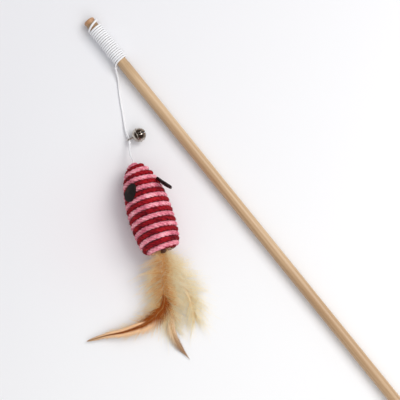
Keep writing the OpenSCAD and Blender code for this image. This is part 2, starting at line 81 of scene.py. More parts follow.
# the camera
print("camera, floor and light")
cameraSizes = {
    "target": (0.25171, 0.01847, 0.0),
    "pictureDown": (-0.776, 0.631, 0.0),
    "pictureRight": (-0.631, -0.776, 0.0),
    "turn": -35.3,  # how far round the camera stands from the picture's lower side, in degrees
    "elevation": 81.48,
    "roll": 0.06,
    "distance": 0.9,
    "focalPixels": 1287.8,
    "picturePixels": 400,
    "sensor": 36,  # in mm
    "clip": (0.01, 10),
}


def addCamera(sizes):
    turn, rise = math.radians(sizes["turn"]), math.radians(sizes["elevation"])
    down, right = Vector(sizes["pictureDown"]), Vector(sizes["pictureRight"])
    away = math.cos(rise) * (math.cos(turn) * down + math.sin(turn) * right) + math.sin(rise) * up
    side = away.cross(down).normalized()
    if side.dot(right) < 0:
        side = -side
    top = away.cross(side).normalized()
    roll = turned(sizes["roll"], away, 3)
    data = bpy.data.cameras.new("camera")
    data.sensor_width = sizes["sensor"]
    data.lens = sizes["sensor"] * sizes["focalPixels"] / sizes["picturePixels"]
    data.clip_start, data.clip_end = sizes["clip"]
    camera = bpy.data.objects.new("camera", data)
    place = Matrix((roll @ side, roll @ top, away)).transposed().to_4x4()
    place.translation = Vector(sizes["target"]) + sizes["distance"] * away
    camera.matrix_world = place
    scene.collection.objects.link(camera)
    scene.camera = camera


addCamera(cameraSizes)


# shader maths as plain expressions
class Flow:
    # a number or a colour on its way through the nodes
    def __init__(self, nodes, socket):
        self.nodes, self.socket = nodes, socket

    def maths(self, operation, *values):
        return self.nodes.flow("ShaderNodeMath", 0, {"operation": operation}, dict(enumerate(values)))

    def __add__(self, other):
        return self.maths("ADD", self, other)

    def __sub__(self, other):
        return self.maths("SUBTRACT", self, other)

    def __mul__(self, other):
        return self.maths("MULTIPLY", self, other)

    def __pow__(self, other):
        return self.maths("POWER", self, other)

    def __radd__(self, other):
        return self.maths("ADD", other, self)

    def __rsub__(self, other):
        return self.maths("SUBTRACT", other, self)

    def __rmul__(self, other):
        return self.maths("MULTIPLY", other, self)

    def between(self, low, high):
        # smoothly from 0 at low to 1 at high
        return self.nodes.flow("ShaderNodeMapRange", 0, {"interpolation_type": "SMOOTHSTEP"},
                               {0: self, 1: low, 2: high, 3: 0.0, 4: 1.0})


class NodeTree:
    # adds nodes to the tree of a material or of the room
    def __init__(self, tree):
        self.tree = tree

    def add(self, kind, settings=None, sockets=None):
        node = self.tree.nodes.new(kind)
        for key, value in (settings or {}).items():
            if key == "stops":
                ramp = node.color_ramp
                while len(ramp.elements) < len(value):
                    ramp.elements.new(0.5)
                for element, (place, colour) in zip(ramp.elements, value):
                    element.position, element.color = place, colour
            else:
                setattr(node, key, value)
        for key, value in (sockets or {}).items():
            if isinstance(value, Flow):
                self.tree.links.new(value.socket, node.inputs[key])
            else:
                node.inputs[key].default_value = value
        return node

    def flow(self, kind, output, settings=None, sockets=None):
        return Flow(self, self.add(kind, settings, sockets).outputs[output])

    def place(self, scale=(1, 1, 1), kind="Object"):
        return self.flow("ShaderNodeMapping", 0, None,
                         {"Vector": self.flow("ShaderNodeTexCoord", kind), "Scale": scale})

    def axis(self, vector, name):
        return self.flow("ShaderNodeSeparateXYZ", name, None, {0: vector})

    def beside(self, plane):
        # how far to one side of an upright plane, given by its x, y and offset
        place = self.place()
        return self.axis(place, "X") * plane[0] + self.axis(place, "Y") * plane[1] + plane[2]

    def grain(self, vector, scale=1.0, detail=3.0, rough=0.5):
        return self.flow("ShaderNodeTexNoise", "Fac", None,
                         {"Vector": vector, "Scale": scale, "Detail": detail, "Roughness": rough})

    def mix(self, share, first, second):
        return self.flow("ShaderNodeMix", 2, {"data_type": "RGBA"}, {0: share, 6: first, 7: second})

    def ramp(self, share, stops):
        return self.flow("ShaderNodeValToRGB", 0, {"stops": stops}, {0: share})


class Finish(NodeTree):
    # one procedural material: named constants go on its shader, flows into the sockets that vary
    def __init__(self, name, **constants):
        self.material = bpy.data.materials.new(name)
        self.material.use_nodes = True
        super().__init__(self.material.node_tree)
        self.shader = next(n for n in self.tree.nodes if n.type == "BSDF_PRINCIPLED")
        for socket, value in constants.items():
            self.shader.inputs[socket.replace("_", " ")].default_value = value

    def paint(self, colour, roughness=None, height=None, depth=0.0001, strength=0.5):
        self.tree.links.new(colour.socket, self.shader.inputs["Base Color"])
        if roughness is not None:
            self.tree.links.new(roughness.socket, self.shader.inputs["Roughness"])
        if height is not None:
            bump = self.add("ShaderNodeBump", None,
                            {"Height": height, "Distance": depth, "Strength": strength})
            self.tree.links.new(bump.outputs[0], self.shader.inputs["Normal"])
        return self.material


# building helpers
def meshFrom(bm, name):
    mesh = bpy.data.meshes.new(name)
    bm.to_mesh(mesh)
    bm.free()
    return mesh


def finishPiece(thing, name, body, material, replaced=()):
    # thing is a bmesh, a mesh or a curve; the object stays at the origin
    mesh = meshFrom(thing, name) if isinstance(thing, bmesh.types.BMesh) else thing
    mesh.name = name
    mesh.materials.clear()
    mesh.materials.append(material)
    piece = bpy.data.objects.new(name, mesh)
    scene.collection.objects.link(piece)
    if isinstance(mesh, bpy.types.Mesh):
        mesh.polygons.foreach_set("use_smooth", [True] * len(mesh.polygons))
    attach(piece, body)
    if replaced:
        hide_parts(*replaced)
    return piece


def dressNode(node, material):
    # a CAD node that stays gets a better material
    cadNodes[node].data.materials.clear()
    cadNodes[node].data.materials.append(material)


def settle(thing):
    # a mesh of an object's final shape, in place of the object
    scene.collection.objects.link(thing)
    bpy.context.view_layer.update()
    graph = bpy.context.evaluated_depsgraph_get()
    mesh = bpy.data.meshes.new_from_object(thing.evaluated_get(graph))
    bpy.data.objects.remove(thing)
    return mesh


def strandCurve(name, strands, sides, caps=True):
    # strands is a list of point lists; each point is a place and a radius
    curve = bpy.data.curves.new(name, "CURVE")
    curve.dimensions = "3D"
    curve.bevel_depth = 1.0
    curve.bevel_resolution = (sides - 4) // 2
    curve.use_fill_caps = caps
    for points in strands:
        spline = curve.splines.new("POLY")
        spline.points.add(len(points) - 1)
        spline.points.foreach_set("co", [c for p, r in points for c in (p[0], p[1], p[2], 1.0)])
        spline.points.foreach_set("radius", [r for p, r in points])
    return curve


def strandPiece(strands, sides, name, body, material, replaced=(), caps=True):
    curve = strandCurve(name, strands, sides, caps)
    mesh = settle(bpy.data.objects.new(name, curve))
    bpy.data.curves.remove(curve)
    return finishPiece(mesh, name, body, material, replaced)


def spun(outline, axis, steps):
    # a closed shell from half of its outline, spun round an axis
    bm = bmesh.new()
    verts = [bm.verts.new(p) for p in outline]
    edges = [bm.edges.new(pair) for pair in zip(verts, verts[1:])]
    bmesh.ops.spin(bm, geom=verts + edges, cent=(0, 0, 0), axis=axis, angle=math.tau, steps=steps,
                   use_merge=True)
    bmesh.ops.remove_doubles(bm, verts=bm.verts, dist=1e-7)
    bmesh.ops.recalc_face_normals(bm, faces=bm.faces)
    return bm


def arc(middle, radius, first, last, steps):
    # points along an arc, from one angle to another in degrees
    angles = [math.radians(first + (last - first) * k / steps) for k in range(steps + 1)]
    return [(middle[0] + radius * math.cos(a), middle[1] + radius * math.sin(a)) for a in angles]


def smoothPath(points, parts):
    # a smooth line through all the points
    out = []
    for i in range(len(points) - 1):
        a, b = points[max(0, i - 1)], points[i]
        c, d = points[i + 1], points[min(len(points) - 1, i + 2)]
        for k in range(parts):
            t = k / parts
            out.append(b + (c - a) * t / 2 + (2 * a - 5 * b + 4 * c - d) * t * t / 2
                       + (3 * b - a - 3 * c + d) * t ** 3 / 2)
    return out + [points[-1]]


def evenPath(points, count):
    # the same line with evenly spaced points
    runs = [0.0]
    for a, b in zip(points, points[1:]):
        runs.append(runs[-1] + (b - a).length)
    out, i = [], 0
    for k in range(count + 1):
        goal = runs[-1] * k / count
        while i < len(points) - 2 and runs[i + 1] < goal:
            i += 1
        gap = runs[i + 1] - runs[i]
        out.append(points[i].lerp(points[i + 1], min(1.0, (goal - runs[i]) / gap) if gap else 0))
    return out


def pathLength(points):
    return sum((b - a).length for a, b in zip(points, points[1:]))


def heading(points, i):
    return (points[min(i + 1, len(points) - 1)] - points[max(i - 1, 0)]).normalized()


def lookUp(share, stops):
    # the value at a share of the way, from a list of stops
    for (a, low), (b, high) in zip(stops, stops[1:]):
        if share <= b:
            return low + (high - low) * max(0.0, share - a) / (b - a)
    return stops[-1][1]


# the floor
floorLevel = -5.08 * mm  # where the object rests
floorSizes = {
    "half": 1.5,
    "middle": (0.3, 0, -5.09 * mm),
    "lean": 0.1,  # a hair, so that the butt and the winding both lie on the table
    "paintedLightRamp": (-2.5, -0.26, 1.14),  # the plane along which painted light makes the table paler
    # painted bounce light: a faint pink glow painted on the table beside the mouse
    "paintedBounceMiddle": (0.274, 0.082),
    "paintedBounceReach": 0.08,
    "paintedBounceShare": 0.16,
}


def floorFinish(sizes):
    # painted light: the table is painted paler towards the butt, and a faint pink painted bounce light
    # glows beside the mouse
    finish = Finish("tableTop", Roughness=0.7, Specular_IOR_Level=0.2)
    place = finish.place()
    blotch = finish.grain(finish.place((6, 6, 6)), detail=2.0)
    # painted light: the table grows paler towards the butt
    paintedLightRamp = finish.beside(sizes["paintedLightRamp"]).between(0.0, 1.0)
    colour = finish.mix(paintedLightRamp, linear(230, 230, 233), linear(244, 244, 244))
    # painted bounce light from the pink ropes, painted into the shade beside the mouse
    east = finish.axis(place, "X") - sizes["paintedBounceMiddle"][0]
    north = finish.axis(place, "Y") - sizes["paintedBounceMiddle"][1]
    paintedBounce = ((east * east + north * north) ** 0.5).between(sizes["paintedBounceReach"], 0.0)
    colour = finish.mix(paintedBounce * sizes["paintedBounceShare"], colour, linear(224, 196, 204))
    return finish.paint(finish.mix(blotch * 0.2, colour, linear(236, 234, 238)))


def addFloor(sizes):
    bm = bmesh.new()
    bmesh.ops.create_grid(bm, x_segments=8, y_segments=8, size=sizes["half"])
    place = Matrix.Translation(sizes["middle"]) @ turned(sizes["lean"], "Y")
    bmesh.ops.transform(bm, matrix=place, verts=bm.verts)
    mesh = meshFrom(bm, "tableTop")
    mesh.materials.append(floorFinish(sizes))
    table = bpy.data.objects.new("tableTop", mesh)
    scene.collection.objects.link(table)


addFloor(floorSizes)


# the room and its two lamps
roomSizes = {
    "strength": 0.515,
    "walls": (0.96, 0.97, 1.0, 1.0),
    "mirrored": [(0.03, (1.0, 1.0, 1.0, 1.0)), (0.24, (0.11, 0.07, 0.055, 1.0))],
    "lampTarget": (0.27, 0.03, 0),
    "window": {"place": (0.2, -0.7, 1.09), "size": 0.8, "power": 9.3, "colour": (1.0, 0.985, 0.96),
               "mirrored": True},
    "ceiling": {"place": (-0.5, 0.15, 1.1), "size": 1.2, "power": 5.6, "colour": (1.0, 1.0, 1.0),
                "mirrored": False},
}


def addRoom(sizes):
    # an even pale room, whose dim ceiling shows in polished metal
    world = bpy.data.worlds.new("room")
    scene.world = world
    world.use_nodes = True
    nodes = NodeTree(world.node_tree)
    height = nodes.axis(nodes.flow("ShaderNodeTexCoord", "Generated"), "Z")
    inMetal = nodes.flow("ShaderNodeLightPath", "Is Glossy Ray")
    colour = nodes.mix(inMetal, sizes["walls"], nodes.ramp(height, sizes["mirrored"]))
    background = world.node_tree.nodes["Background"]
    background.inputs["Strength"].default_value = sizes["strength"]
    nodes.tree.links.new(colour.socket, background.inputs["Color"])


def addLamp(name, lamp, target):
    data = bpy.data.lights.new(name, "AREA")
    data.size, data.energy, data.color = lamp["size"], lamp["power"], lamp["colour"]
    light = bpy.data.objects.new(name, data)
    light.location = lamp["place"]
    light.rotation_euler = (Vector(target) - light.location).to_track_quat("-Z", "Y").to_euler()
    light.visible_glossy = lamp["mirrored"]
    scene.collection.objects.link(light)


addRoom(roomSizes)
for lampName in ("window", "ceiling"):
    addLamp(lampName, roomSizes[lampName], roomSizes["lampTarget"])
scene.view_settings.view_transform = "Standard"


# white elastic cord
print("cord, winding and knots")
cordSizes = {
    "thick": 1.2 * mm,
    "route": [  # in mm, from the exit knot to the nose
        (359.7, 6.9, -1.8), (356.0, 8.5, -3.1), (352.0, 11.0, -4.2), (347.5, 14.0, -4.4),
        (342.5, 17.0, -4.4), (337.6, 19.8, -4.4), (333.0, 22.3, -4.4), (328.4, 25.0, -4.2),
        (323.9, 27.5, -3.6), (319.6, 29.2, -2.7), (315.9, 30.2, -1.7), (312.9, 32.4, -0.5),
        (310.0, 34.8, 1.1), (307.2, 36.6, 2.9), (304.9, 37.8, 4.7), (302.9, 38.3, 6.2)],
    "bellPoint": 10,  # the point of the route that the bell's loop goes round
    "braid": 600,  # plaits to the metre
}


def cordFinish(name, length):
    # length is that of the piece, so that every piece has the same braid
    finish = Finish(name, Roughness=0.62, Specular_IOR_Level=0.35, Sheen_Weight=0.25)
    braid = finish.flow("ShaderNodeTexWave", "Fac", {"wave_type": "BANDS", "bands_direction": "DIAGONAL"},
                        {"Vector": finish.place((length * cordSizes["braid"], 1.26, 1), "UV"),
                         "Scale": 1.0, "Distortion": 0.6})
    fuzz = finish.grain(finish.place(), scale=2600.0)
    shade = finish.grain(finish.place(), scale=160.0, detail=2.0)
    colour = finish.mix(shade * 0.5, linear(246, 246, 247), linear(226, 226, 230))
    # painted shade: the braid's grooves are painted darker
    colour = finish.mix((1 - braid) * 0.12, colour, linear(196, 194, 200))
    return finish.paint(colour, height=braid * 0.6 + fuzz * 0.4, depth=0.08 * mm, strength=0.45)


cordWhite = cordFinish("whiteElastic", 68 * mm)


def addFreeCord(sizes):
    route = [Vector(p) * mm for p in sizes["route"]]
    line = smoothPath(route, 4)
    curve = strandCurve("freeCord", [[(p, 1.0) for p in line]], 8)
    curve.bevel_depth = sizes["thick"] / 2
    piece = finishPiece(curve, "freeCord", "line", cordWhite, ["cord"])
    return piece, route, line


freeCord, cordRoute, cordLine = addFreeCord(cordSizes)


# the knots at the winding and beside the bell
knotSizes = {
    "hitch": (361.63, 6.04, -1.17),  # the middle of the exit knot, in mm
    "hitchLobe": 0.28 * mm,
    "stopLobe": 0.25 * mm,
    "stopLag": 2.3 * mm,  # from the bell's loop to the stop knot
    "lobeHeight": 1.15,
    "cord": 0.5 * mm,  # the cord's radius where it is pulled tight
    "lead": 0.6 * mm,
    "leadEnd": 0.59 * mm,
    "steps": 54,
}
hitch = Vector(knotSizes["hitch"]) * mm


def overhandKnot(centre, along, lobe, sizes):
    # a closed three-lobed loop pulled tight round the cord
    turn = Vector(along).to_track_quat("Z", "X").to_matrix()
    points = []
    for k in range(sizes["steps"] + 1):
        t = math.tau * k / sizes["steps"]
        local = Vector((math.sin(t) + 2 * math.sin(2 * t), math.cos(t) - 2 * math.cos(2 * t),
                        -sizes["lobeHeight"] * math.sin(3 * t)))
        points.append((centre + turn @ (local * lobe), sizes["cord"]))
    return points


def addKnots(sizes):
    start = cordRoute[0]
    knot = overhandKnot(hitch, cordRoute[1] - hitch, sizes["hitchLobe"], sizes)
    # a short lead joins it to the free cord
    lead = [(hitch, sizes["lead"]), (hitch.lerp(start, 0.5), sizes["lead"]), (start, sizes["leadEnd"])]
    strandPiece([knot, lead], 10, "exitKnot", "hitch", cordWhite, ["exit_knot"])
    # the stop knot sits close under the bell's loop
    bell, after = cordRoute[cordSizes["bellPoint"]:][:2]
    way = (after - bell).normalized()
    knot = overhandKnot(bell + way * sizes["stopLag"], way, sizes["stopLobe"], sizes)
    return strandPiece([knot], 10, "stopKnot", "line", cordWhite, ["bell_knot"])


stopKnot = addKnots(knotSizes)
round(pathLength(cordLine), 4)


# the winding round the dowel's tip
windingSizes = {
    "radius": 4.6 * mm,
    "from": 397.0 * mm,
    "slant": 4.0 * mm,  # how far the first half turn runs back
    "pitch": 1.65 * mm,
    "turns": 17,
    "lastTurn": 320,
    "step": 10,  # in degrees
    "cord": 0.75 * mm,  # the cord's radius in the turns
    "ends": 0.62 * mm,
    "tail": 1.6 * mm,
    "wander": 0.12 * mm,
    "wobble": 0.05 * mm,
    "sag": (0, 0.5, 0.15),  # in mm, on the way to the exit knot
    "press": 0.8,  # the turns that lie on the table are pressed flatter
    "length": 490 * mm,
}


def addWinding(sizes):
    def at(angle):
        x = (sizes["from"] - sizes["slant"] * min(angle / 180, 1)
             - sizes["pitch"] * max(0, angle - 180) / 360)
        x += sizes["wander"] * noise.noise(Vector((angle / 140, 3.1, 0)))
        reach = sizes["radius"] + sizes["wobble"] * noise.noise(Vector((angle / 90, 0, 7.7)))
        a = math.radians(180 - angle)
        return Vector((x, reach * math.cos(a), reach * math.sin(a)))

    turnEnd = 180 + 360 * sizes["turns"] + sizes["lastTurn"]
    points = [at(0) + (at(0) - at(15)).normalized() * sizes["tail"]]
    points += [at(angle) for angle in range(0, turnEnd + 1, sizes["step"])]
    last = points[-1].copy()
    for share in (0.25, 0.5, 0.75, 1.0):
        sag = Vector(sizes["sag"]) * mm * math.sin(share * math.pi)
        points.append(last.lerp(hitch, share) + sag)
    strand = []
    for i, p in enumerate(points):
        p.z = max(p.z, floorLevel + sizes["cord"] * sizes["press"])
        inTurns = 1 < i < len(points) - 4
        strand.append((p, sizes["cord"] if inTurns else sizes["ends"]))
    strandPiece([strand], 10, "cordWinding", "wand",
                cordFinish("whiteWinding", sizes["length"]), ["cord_wrap"])


addWinding(windingSizes)


# the wooden dowel
print("dowel")
rodSizes = {
    "length": 400 * mm,
    "radius": 4 * mm,
    "seatRadius": 3.75 * mm,
    "seatFrom": 358.98 * mm,
    "seatTo": 398.2 * mm,
    "seatSlope": 0.15 * mm,
    "round": 0.8 * mm,
    "rings": 24,
    "untrue": 0.006,  # a dowel is never quite round
    "brownFrom": 0.3925,  # handled wood is browner at the sawn tip
    "brownTo": 0.396,
}


def woodFinish(sizes):
    finish = Finish("paleWood", Specular_IOR_Level=0.9)
    streak = finish.grain(finish.place((9, 520, 520)), detail=5.0, rough=0.62)
    broad = finish.grain(finish.place((5, 90, 90)), detail=2.0)
    pore = finish.flow("ShaderNodeTexVoronoi", "Distance", None,
                       {"Vector": finish.place((55, 1500, 1500)), "Scale": 1.0})
    colour = finish.ramp(streak * 0.6 + broad * 0.4, [
        (0.3, linear(166, 128, 90)), (0.45, linear(184, 148, 108)),
        (0.56, linear(200, 166, 126)), (0.72, linear(220, 192, 154))])
    colour = finish.mix((1 - pore.between(0.0, 0.28)) * 0.35, colour, linear(142, 106, 72))
    tip = finish.axis(finish.place(), "X").between(sizes["brownFrom"], sizes["brownTo"])
    colour = finish.mix(tip * 0.75, colour, linear(180, 128, 86))
    return finish.paint(colour, roughness=0.36 + streak * 0.16, height=streak * 0.7 + pore * 0.3,
                        depth=0.12 * mm, strength=0.35)


def addRod(sizes):
    # half of the outline, spun round the X axis
    r, seat, edge, slope = sizes["radius"], sizes["seatRadius"], sizes["round"], sizes["seatSlope"]
    outline = [(0, 0)] + arc((edge, r - edge), edge, 180, 90, 4)
    for k in range(1, sizes["rings"]):
        outline.append((edge + (sizes["seatFrom"] - edge) * k / sizes["rings"], r))
    outline += [(sizes["seatFrom"] - slope, r), (sizes["seatFrom"] + slope, seat)]
    outline += [(sizes["seatTo"] - slope, seat), (sizes["seatTo"] + slope, r)]
    outline += arc((sizes["length"] - edge, r - edge), edge, 90, 0, 4) + [(sizes["length"], 0)]
    bm = spun([(x, y, 0) for x, y in outline], (1, 0, 0), 64)
    for v in bm.verts:
        dent = noise.noise(Vector((v.co.x * 30, v.co.y * 300, v.co.z * 300)))
        v.co.yz = Vector(v.co.yz) * (1 + sizes["untrue"] * dent)
    finishPiece(bm, "dowel", "wand", woodFinish(sizes), ["rod"])


addRod(rodSizes)


def glueFinish(name, colour, second):
    finish = Finish(name, Specular_IOR_Level=0.5)
    cloud = finish.grain(finish.place(), scale=420.0)
    return finish.paint(finish.mix(cloud, colour, second), roughness=0.25 + cloud * 0.3, height=cloud,
                        depth=0.3 * mm)


dressNode("wrap_glue", glueFinish("clearGlue", linear(176, 144, 108), linear(146, 112, 78)))


# the bell
print("bell")
bellSizes = {
    "radius": 5.0 * mm,
    "wall": 0.4 * mm,
    "rim": 0.3 * mm,
    "rimRoll": 0.05 * mm,
    "rimHeights": (0.55 * mm, 0.5 * mm, 0.25 * mm),
    "dents": (0.008, 0.006),  # where the rim was pressed over
    "slot": 1.0 * mm,
    "slotFrom": 20,  # degrees below the rim
    "eye": 1.8 * mm,
    "cutter": (12 * mm, 10 * mm),
    "soften": 0.07 * mm,
    "tilt": 15,
    "yaw": 75.4,
    "loopOut": 7.5 * mm,
    "loopFoot": 3.4 * mm,
    "wire": 0.45 * mm,
    "legApart": 1.75 * mm,
    "solder": (0.7 * mm, -0.2 * mm, 0.25 * mm),  # radius, and from where to where over the foot
    "ball": 1.6 * mm,
}


def bellMatrix(sizes):
    # the loop hangs round the cord, and the shells lie tilted beside it
    fall, turn = math.radians(sizes["tilt"]), math.radians(sizes["yaw"])
    way = Vector((math.cos(fall) * math.cos(turn), math.cos(fall) * math.sin(turn), -math.sin(fall)))
    centre = cordRoute[cordSizes["bellPoint"]] - way * sizes["loopOut"]
    return Matrix.Translation(centre) @ turned(sizes["yaw"], "Z") @ turned(90 + sizes["tilt"], "Y")


bellPlace = bellMatrix(bellSizes)


def nickelFinish(name, light, dark, rough=0.08):
    finish = Finish(name, Metallic=1.0)
    cloud = finish.grain(finish.place(), scale=260.0)
    scuff = finish.grain(finish.place((1, 1, 5)), scale=1500.0, detail=4.0, rough=0.6)
    tarnish = (cloud * 0.7 + scuff * 0.3).between(0.36, 0.66)
    return finish.paint(finish.mix(tarnish, light, dark), roughness=rough + tarnish * 0.16,
                        height=scuff * 0.6 + cloud * 0.4, depth=0.05 * mm, strength=0.35)


nickel = nickelFinish("dullNickel", linear(206, 200, 192), linear(150, 138, 126))
wireNickel = nickelFinish("wireNickel", linear(236, 234, 228), linear(206, 200, 190), 0.34)
steel = nickelFinish("ballSteel", linear(150, 150, 152), linear(96, 92, 88))


def halfShell(sizes, rim):
    # the upper half has the crimped rim
    r, out = sizes["radius"], sizes["radius"] + sizes["rim"]
    flip = 1 if rim else -1
    outside, inside = arc((0, 0), r, flip * 90, 0, 18), arc((0, 0), r - sizes["wall"], 0, flip * 90, 18)
    if rim:
        under, edge, low = sizes["rimHeights"]
        outside[-2:] = [(r * 0.995, under), (out, edge), (out + sizes["rimRoll"], low), (out, 0.0)]
    return spun([(x, 0, z) for x, z in outside + inside], (0, 0, 1), 72)


def addBellCap(sizes):
    cap = halfShell(sizes, True)
    for v in cap.verts:
        if abs(v.co.z) < 0.6 * mm and v.co.xy.length > sizes["radius"]:
            around = math.atan2(v.co.y, v.co.x)
            dent = sizes["dents"][0] * math.sin(around * 11 + 1) + sizes["dents"][1] * math.sin(around * 5)
            v.co.xy = Vector(v.co.xy) * (1 + dent)
    bmesh.ops.transform(cap, matrix=bellPlace, verts=cap.verts)
    finishPiece(cap, "bellCap", "bell", nickel, ["bell_cap"])


def addBellPetals(sizes):
    # two slots that cross, with a round eye at each end
    petals = bpy.data.objects.new("bellPetals", meshFrom(halfShell(sizes, False), "bellPetals"))
    cutters = bpy.data.collections.new("cutters")
    top = sizes["radius"] * math.sin(math.radians(sizes["slotFrom"]))
    reach, deep = sizes["cutter"]
    for turn in (0, 90):
        for kind in ("slot", "eye"):
            bm = bmesh.new()
            if kind == "slot":
                place = Matrix.Translation((0, 0, -top - deep / 2))
                place = place @ Matrix.Diagonal((reach, sizes["slot"], deep, 1))
                bmesh.ops.create_cube(bm, size=1, matrix=place)
            else:
                place = Matrix.Translation((0, 0, -top)) @ turned(90, "Y")
                bmesh.ops.create_cone(bm, cap_ends=True, segments=32, radius1=sizes["eye"] / 2,
                                      radius2=sizes["eye"] / 2, depth=reach, matrix=place)
            bmesh.ops.rotate(bm, cent=(0, 0, 0), matrix=turned(turn, "Z", 3), verts=bm.verts)
            cutters.objects.link(bpy.data.objects.new("cutter", meshFrom(bm, "cutter")))
    cut = petals.modifiers.new("slots", "BOOLEAN")
    cut.operation, cut.operand_type, cut.solver = "DIFFERENCE", "COLLECTION", "EXACT"
    cut.collection = cutters
    soften = petals.modifiers.new("soften", "BEVEL")
    soften.width, soften.segments = sizes["soften"], 2
    soften.limit_method, soften.angle_limit = "ANGLE", math.radians(50)
    mesh = settle(petals)
    for tool in list(cutters.objects):
        bpy.data.objects.remove(tool)
    bpy.data.collections.remove(cutters)
    mesh.transform(bellPlace)
    finishPiece(mesh, "bellPetals", "bell", nickel, ["bell_petals"])


def addBellLoop(sizes):
    # a bent wire whose two feet are soldered to the cap
    leg, out, foot = sizes["legApart"], sizes["loopOut"], sizes["loopFoot"]
    heights = [foot + (out - foot) * k / 4 for k in range(4)]
    bend = [(-leg, z) for z in heights] + arc((0, out), leg, 180, 0, 16)
    bend += [(leg, z) for z in reversed(heights)]
    strands = [[(bellPlace @ Vector((x, 0, z)), sizes["wire"]) for x, z in bend]]
    radius, low, high = sizes["solder"]
    for x in (-leg, leg):
        strands.append([(bellPlace @ Vector((x, 0, foot + z)), radius) for z in (low, high)])
    strandPiece(strands, 12, "bellLoop", "bell", wireNickel, ["bell_loop"])


def addRattleBall(sizes):
    low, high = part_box("bell_pellet")
    bm = bmesh.new()
    bmesh.ops.create_icosphere(bm, subdivisions=4, radius=sizes["ball"],
                               matrix=Matrix.Translation((low + high) / 2))
    finishPiece(bm, "rattleBall", "pellet", steel, ["bell_pellet"])


for addPart in (addBellCap, addBellPetals, addBellLoop, addRattleBall):
    addPart(bellSizes)


# the mouse
print("mouse ropes")
mouseSizes = {
    "nose": (300.4 * mm, 39.2 * mm),
    "length": 65 * mm,
    "radius": 15.6 * mm,
    "noseShare": 0.62,
    "tailPower": 2.8,
    "tailRing": 0.757,
    "pitch": 4.6,
    "yaw": 158.8,
    "sink": 0.5 * mm,
}
ropeSizes = {
    "radius": 1.6 * mm,
    "gap": 0.35 * mm,
    "phase": 56,
    "start": 2.5 * mm,  # both ropes leave the nose this far from its middle
    "bend": 1.2,  # their bend there, in rope radii
    "strands": 3,
    "strandOut": 0.8 * mm,
    "strandRadius": 1.01 * mm,
    "soft": 0.22,
    "lay": 9.5 * mm,
    # the turns were wound a little aslant: mean, sideways and upward shift, and the run over which it comes
    "slant": (0.9 * mm, 1.3 * mm, -1.5 * mm),
    "slantRun": 14 * mm,
    "wander": 0.24 * mm,
    "swell": 0.16 * mm,
    "tuck": 0.7 * mm,  # the last turn is drawn in
    "step": 0.75 * mm,
}


def mouseMeasures(sizes):
    noseA = sizes["noseShare"] * sizes["length"]
    pitch = math.radians(sizes["pitch"])
    rise = noseA * math.sin(pitch)
    noseZ = floorLevel - sizes["sink"] - rise + math.hypot(rise, sizes["radius"] * math.cos(pitch))
    place = (Matrix.Translation((*sizes["nose"], noseZ)) @ turned(sizes["yaw"], "Z")
             @ turned(-sizes["pitch"], "Y"))
    tailTurn = math.acos(sizes["tailRing"] ** (sizes["tailPower"] / 2))
    tailA = ((sizes["length"] - noseA - ropeSizes["radius"])
             / math.sin(tailTurn) ** (2 / sizes["tailPower"]))
    return noseA, tailA, tailTurn, place


noseA, tailA, tailTurn, mousePlace = mouseMeasures(mouseSizes)


def meridianLine(mouse, rope):
    # the ropes' middle line from the nose to the tail: distance along it, x and radius
    thick = rope["radius"]
    ring = mouse["radius"] - thick
    line = []
    a = math.asin(math.hypot(rope["start"], rope["bend"] * thick) / ring)
    while a < math.pi / 2:
        line.append((noseA - (noseA - thick) * math.cos(a), ring * math.sin(a)))
        a += math.radians(1)
    a, power = math.radians(1), 2 / mouse["tailPower"]
    while a < tailTurn:
        line.append((noseA + tailA * math.sin(a) ** power, ring * math.cos(a) ** power))
        a += math.radians(1)
    tailX, tailR = mouse["length"] - thick, mouse["tailRing"] * ring
    line += [(tailX, tailR), (tailX, tailR - 2 * thick - rope["gap"])]
    out, run = [], 0.0
    for (x, r), (beforeX, beforeR) in zip(line, line[:1] + line):
        run += math.hypot(x - beforeX, r - beforeR)
        out.append((run, x, r))
    return out


def around(x, r, a):
    # a place in the mouse's own frame, at an angle in radians
    return Vector((x, r * math.cos(a), r * math.sin(a)))


